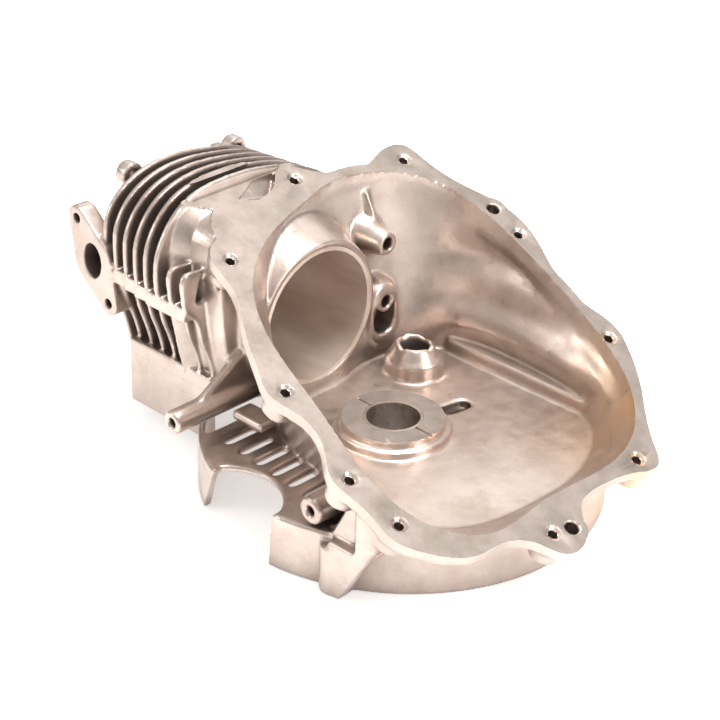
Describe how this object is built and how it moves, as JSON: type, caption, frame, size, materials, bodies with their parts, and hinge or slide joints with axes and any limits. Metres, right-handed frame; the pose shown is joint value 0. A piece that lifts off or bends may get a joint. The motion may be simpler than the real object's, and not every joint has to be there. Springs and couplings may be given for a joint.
{
  "type": "small engine cylinder block with integral head",
  "caption": "Bare die-cast cylinder block of a vertical-shaft single-cylinder engine: finned cylinder, integral head and half crankcase with a slanted gasket face.",
  "frame": {"origin": "on the crankshaft's axis, at the thrust face of the main bearing boss", "axes": "+Z along the crankshaft towards the open side of the crankcase, -X along the cylinder towards the head, +Y towards the camshaft"},
  "size_m": [0.2953, 0.2005, 0.1315],
  "materials": {
    "cast_aluminium": "die-cast and blasted, faces machined",
    "liner_iron": "honed",
    "bearing_metal": "bored",
    "seal_rubber": "moulded",
    "plated_steel": "zinc plated",
    "seat_steel": "ground",
    "guide_iron": "reamed"
  },
  "bodies": {
    "root": {"cam_bore_plug": "plated_steel", "casting_barrel": "cast_aluminium", "casting_cooling_fins": "cast_aluminium", "casting_crankcase_floor": "cast_aluminium", "casting_crankcase_wall": "cast_aluminium", "casting_duct_wall_far": "cast_aluminium", "casting_duct_wall_near": "cast_aluminium", "casting_end_wall": "cast_aluminium", "casting_exhaust_flange": "cast_aluminium", "casting_fan_plate": "cast_aluminium", "casting_fan_skirt": "cast_aluminium", "casting_fin_ribs": "cast_aluminium", "casting_gasket_flange": "cast_aluminium", "casting_head_end": "cast_aluminium", "casting_intake_flange": "cast_aluminium", "casting_pushrod_tunnel": "cast_aluminium", "crank_seal_case": "plated_steel", "crank_seal_lip": "seal_rubber", "crank_seal_spring": "plated_steel", "cylinder_liner": "liner_iron", "exhaust_valve_guide": "guide_iron", "exhaust_valve_seat": "seat_steel", "intake_stem_seal": "seal_rubber", "intake_valve_guide": "guide_iron", "intake_valve_seat": "seat_steel", "main_bearing_bush": "bearing_metal"}
  },
  "joints": []
}
